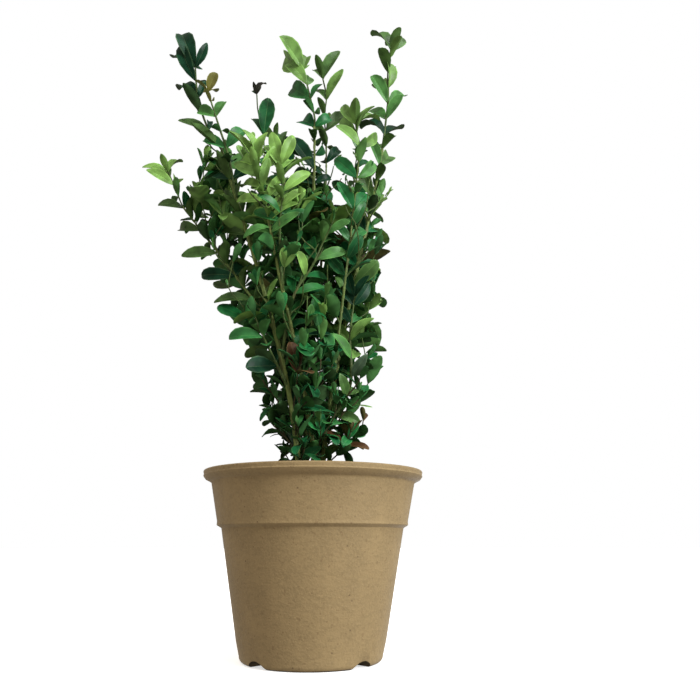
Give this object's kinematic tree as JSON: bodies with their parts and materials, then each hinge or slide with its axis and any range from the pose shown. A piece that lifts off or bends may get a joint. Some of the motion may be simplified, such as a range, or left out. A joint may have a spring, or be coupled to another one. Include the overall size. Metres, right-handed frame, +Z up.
{
  "type": "potted boxwood shrub",
  "caption": "Young unclipped boxwood shrub with upright leafy shoots, growing in a round tapered nursery pot of tan fibre plastic.",
  "frame": {"origin": "centre of the pot's flat underside", "axes": "+Z up along the pot's axis; +X to the right and +Y away as seen from the side that shows the long left shoot at left"},
  "size_m": [0.13, 0.093, 0.306],
  "materials": {
    "pot_fibre": "matte",
    "soil": "matte",
    "stem_bark": "matte",
    "bough_bark": "matte",
    "leaves_dark": "satin",
    "leaves_middle": "satin",
    "leaves_young": "satin"
  },
  "bodies": {
    "root": {"bough_back_right": "bough_bark", "bough_far_left": "bough_bark", "bough_front_right": "bough_bark", "bough_inner_left": "bough_bark", "bough_inner_right": "bough_bark", "foliage_back_right": "leaves_dark", "foliage_front_right": "leaves_middle", "foliage_low_back": "leaves_dark", "foliage_low_front": "leaves_dark", "foliage_low_left": "leaves_dark", "foliage_low_right": "leaves_dark", "foliage_mid_back": "leaves_dark", "foliage_mid_front": "leaves_middle", "foliage_mid_left": "leaves_dark", "foliage_mid_right": "leaves_dark", "foliage_upper_back": "leaves_dark", "foliage_upper_centre": "leaves_dark", "foliage_upper_front": "leaves_young", "foliage_upper_left": "leaves_middle", "foliage_upper_right": "leaves_middle", "pot": "pot_fibre", "soil": "soil", "spire_back_left": "leaves_middle", "spire_back_right": "leaves_middle", "spire_centre": "leaves_middle", "spire_far_left": "leaves_young", "spire_front_right": "leaves_young", "spire_inner_left": "leaves_dark", "spire_inner_right": "leaves_dark", "spire_left": "leaves_middle", "spire_right": "leaves_middle", "stem_back": "stem_bark", "stem_centre": "stem_bark", "stem_front": "stem_bark", "stem_left": "stem_bark", "stem_right": "stem_bark"}
  },
  "joints": []
}
